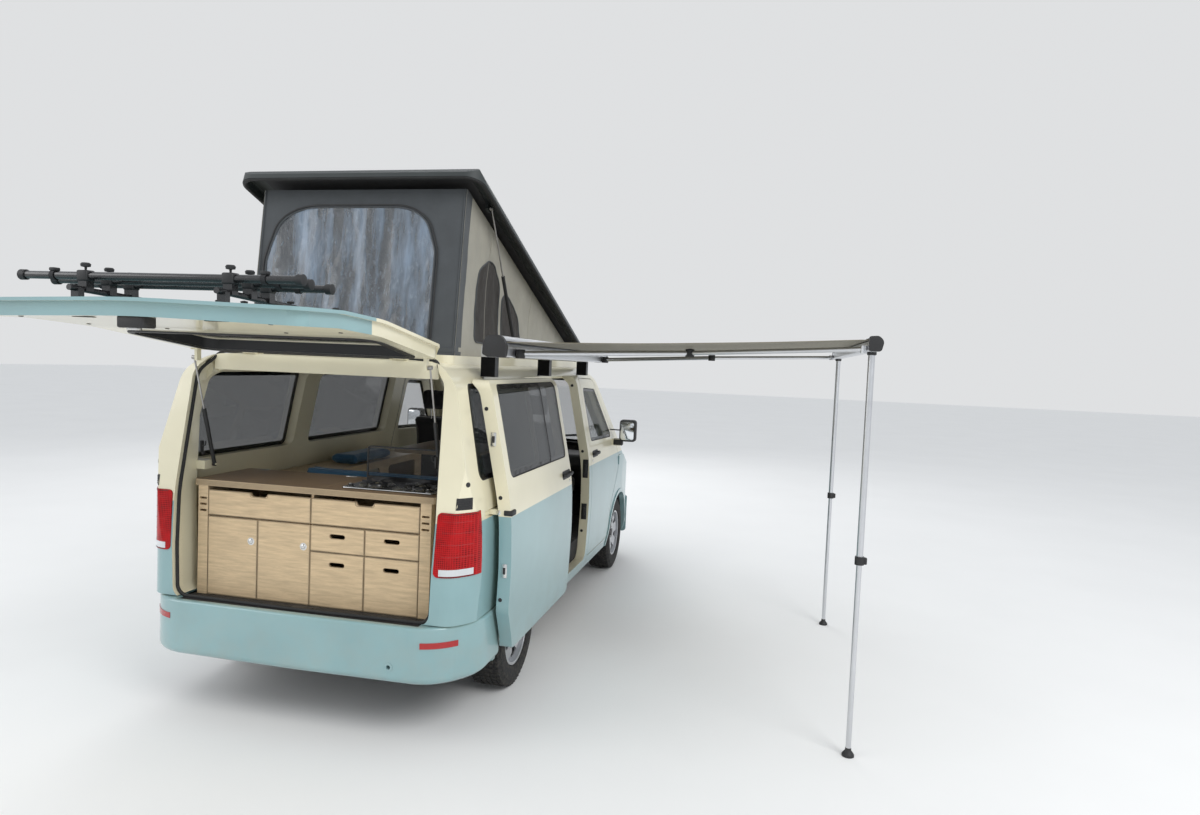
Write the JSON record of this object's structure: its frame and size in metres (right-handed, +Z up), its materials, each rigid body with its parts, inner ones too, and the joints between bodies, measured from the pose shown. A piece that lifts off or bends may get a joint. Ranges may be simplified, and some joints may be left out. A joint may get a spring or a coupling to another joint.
{
  "type": "camper van",
  "caption": "Short two-tone camper van with raised pop-top and canvas, open tailgate with cycle rack, rear kitchen, open sliding door and side awning on legs",
  "frame": {"origin": "on the ground under the middle of the whole object, awning and open tailgate included", "axes": "+X to the right side of the van, where the awning is, +Y to its nose, +Z up"},
  "size_m": [4.0228, 5.9554, 3.0353],
  "materials": {
    "paint_upper": "satin cream paint",
    "paint_lower": "gloss light blue paint",
    "underbody": "matt black wax and paint",
    "shell_grey": "dark grey moulded shell",
    "black_plastic": "grained black plastic",
    "bumper_paint": "painted bumper",
    "lens_red": "red lamp lens",
    "lens_clear": "clear lamp lens",
    "glass": "tinted glass",
    "canvas": "grey tent canvas",
    "rubber": "black tyre",
    "wheel_silver": "silver painted wheel",
    "steel": "bare steel",
    "alloy": "anodised aluminium",
    "cast": "cast metal",
    "ply": "birch plywood",
    "brown_top": "brown laminate on ply",
    "cushion": "blue seat fabric",
    "seat_fabric": "black seat fabric",
    "awning_cloth": "grey-brown awning cloth"
  },
  "bodies": {
    "van_body": {"awning_arms": "alloy", "awning_case": "alloy", "awning_fabric": "awning_cloth", "awning_legs": "alloy", "awning_rail": "alloy", "bench_cushions": "cushion", "bulkhead": "underbody", "dashboard": "black_plastic", "engine": "cast", "exhaust": "steel", "floor_pan": "underbody", "front_axle": "underbody", "front_bumper": "bumper_paint", "front_seats": "seat_fabric", "front_wings": "paint_lower", "grille": "black_plastic", "headlamps": "lens_clear", "hob": "black_plastic", "kitchen_carcass": "ply", "kitchen_fronts": "ply", "rear_axle": "underbody", "rear_bumper": "bumper_paint", "rear_sill": "black_plastic", "roof_canvas": "canvas", "roof_panel": "paint_upper", "side_glass": "glass", "side_left": "paint_upper", "side_right": "paint_upper", "side_units": "ply", "sliding_door": "paint_upper", "table": "brown_top", "tail_lamps": "lens_red", "windscreen": "glass", "worktop": "brown_top"},
    "tailgate_lid": {"tailgate": "paint_upper", "tailgate_glass": "glass", "cycle_rack": "black_plastic"},
    "tailgate_tubes": {"tailgate_strut_tubes": "black_plastic"},
    "tailgate_rods": {"tailgate_strut_rods": "steel"},
    "roof_lid": {"poptop_shell": "shell_grey"},
    "roof_tubes": {"poptop_strut_tubes": "black_plastic"},
    "roof_rods": {"poptop_strut_rods": "steel"},
    "bonnet_lid": {"bonnet": "paint_lower"},
    "door_left_body": {"door_left": "paint_upper", "door_glass_left": "glass"},
    "door_right_body": {"door_right": "paint_upper", "door_glass_right": "glass"},
    "knuckle_left_body": {"knuckle_left": "cast"},
    "knuckle_right_body": {"knuckle_right": "cast"},
    "wheel_front_left": {"tyre_front_left": "rubber", "rim_front_left": "wheel_silver"},
    "wheel_front_right": {"tyre_front_right": "rubber", "rim_front_right": "wheel_silver"},
    "wheel_rear_left": {"tyre_rear_left": "rubber", "rim_rear_left": "wheel_silver"},
    "wheel_rear_right": {"tyre_rear_right": "rubber", "rim_rear_right": "wheel_silver"},
    "drawer_left": {"kitchen_drawer_left": "ply"},
    "drawer_right": {"kitchen_drawer_right": "ply"}
  },
  "joints": [
    {"name": "tailgate_hinge", "type": "hinge", "parent": "van_body", "child": "tailgate_lid", "pos_m": [-0.86942, -1.63678, 1.972], "axis": [1, 0, 0], "range_deg": [0, 88.6]},
    {"name": "roof_hinge", "type": "hinge", "parent": "van_body", "child": "roof_lid", "pos_m": [-0.86942, 1.39522, 2.006], "axis": [1, 0, 0], "range_deg": [0, 19.4], "deforming": ["roof_canvas"]},
    {"name": "bonnet_hinge", "type": "hinge", "parent": "van_body", "child": "bonnet_lid", "pos_m": [-0.86942, 2.23522, 1.14], "axis": [1, 0, 0], "range_deg": [0, 50]},
    {"name": "door_right_hinge", "type": "hinge", "parent": "van_body", "child": "door_right_body", "pos_m": [0.08058, 1.99122, 1.07], "axis": [0, 0, 1], "range_deg": [0, 65]},
    {"name": "door_left_hinge", "type": "hinge", "parent": "van_body", "child": "door_left_body", "pos_m": [-1.81942, 1.99122, 1.07], "axis": [0, 0, -1], "range_deg": [0, 65]},
    {"name": "drawer_left_slide", "type": "slide", "parent": "van_body", "child": "drawer_left", "axis": [0, 1, 0], "range_m": [-0.36, 0]},
    {"name": "drawer_right_slide", "type": "slide", "parent": "van_body", "child": "drawer_right", "axis": [0, 1, 0], "range_m": [-0.36, 0]},
    {"name": "steering_left", "type": "hinge", "parent": "van_body", "child": "knuckle_left_body", "pos_m": [-1.65142, 2.09522, 0.343], "axis": [0, 0, 1], "range_deg": [-35, 35]},
    {"name": "steering_right", "type": "hinge", "parent": "van_body", "child": "knuckle_right_body", "pos_m": [-0.08742, 2.09522, 0.343], "axis": [0, 0, 1], "range_deg": [-36, 36]},
    {"name": "wheel_front_left_spin", "type": "hinge", "parent": "knuckle_left_body", "child": "wheel_front_left", "pos_m": [-1.68342, 2.09522, 0.343], "axis": [1, 0, 0], "continuous": true},
    {"name": "wheel_rear_left_spin", "type": "hinge", "parent": "van_body", "child": "wheel_rear_left", "pos_m": [-1.68342, -0.90478, 0.343], "axis": [1, 0, 0], "continuous": true},
    {"name": "wheel_front_right_spin", "type": "hinge", "parent": "knuckle_right_body", "child": "wheel_front_right", "pos_m": [-0.05542, 2.09522, 0.343], "axis": [1, 0, 0], "continuous": true},
    {"name": "wheel_rear_right_spin", "type": "hinge", "parent": "van_body", "child": "wheel_rear_right", "pos_m": [-0.05542, -0.90478, 0.343], "axis": [1, 0, 0], "continuous": true},
    {"name": "tailgate_strut_swing", "type": "hinge", "parent": "van_body", "child": "tailgate_tubes", "pos_m": [-0.86942, -1.60078, 1.33], "axis": [1, 0, 0], "range_deg": [-17.39, 0]},
    {"name": "tailgate_strut_draw", "type": "slide", "parent": "tailgate_tubes", "child": "tailgate_rods", "axis": [0, -0.2746, 0.9616], "range_m": [-0.11861, 0]},
    {"name": "roof_strut_swing", "type": "hinge", "parent": "van_body", "child": "roof_tubes", "pos_m": [-0.86942, -0.45478, 2.03], "axis": [1, 0, 0], "range_deg": [0, 58.44]},
    {"name": "roof_strut_draw", "type": "slide", "parent": "roof_tubes", "child": "roof_rods", "axis": [0, -0.5381, 0.8429], "range_m": [-0.31138, 0]}
  ],
  "couplings": [
    {"joint": "steering_right", "follows": "steering_left", "ratio": 1},
    {"joint": "tailgate_strut_swing", "follows": "tailgate_hinge", "ratio": -0.18501},
    {"joint": "tailgate_strut_draw", "follows": "tailgate_hinge", "m_per_rad": -0.07541},
    {"joint": "roof_strut_swing", "follows": "roof_hinge", "ratio": 2.9609},
    {"joint": "roof_strut_draw", "follows": "roof_hinge", "m_per_rad": -0.91372}
  ]
}
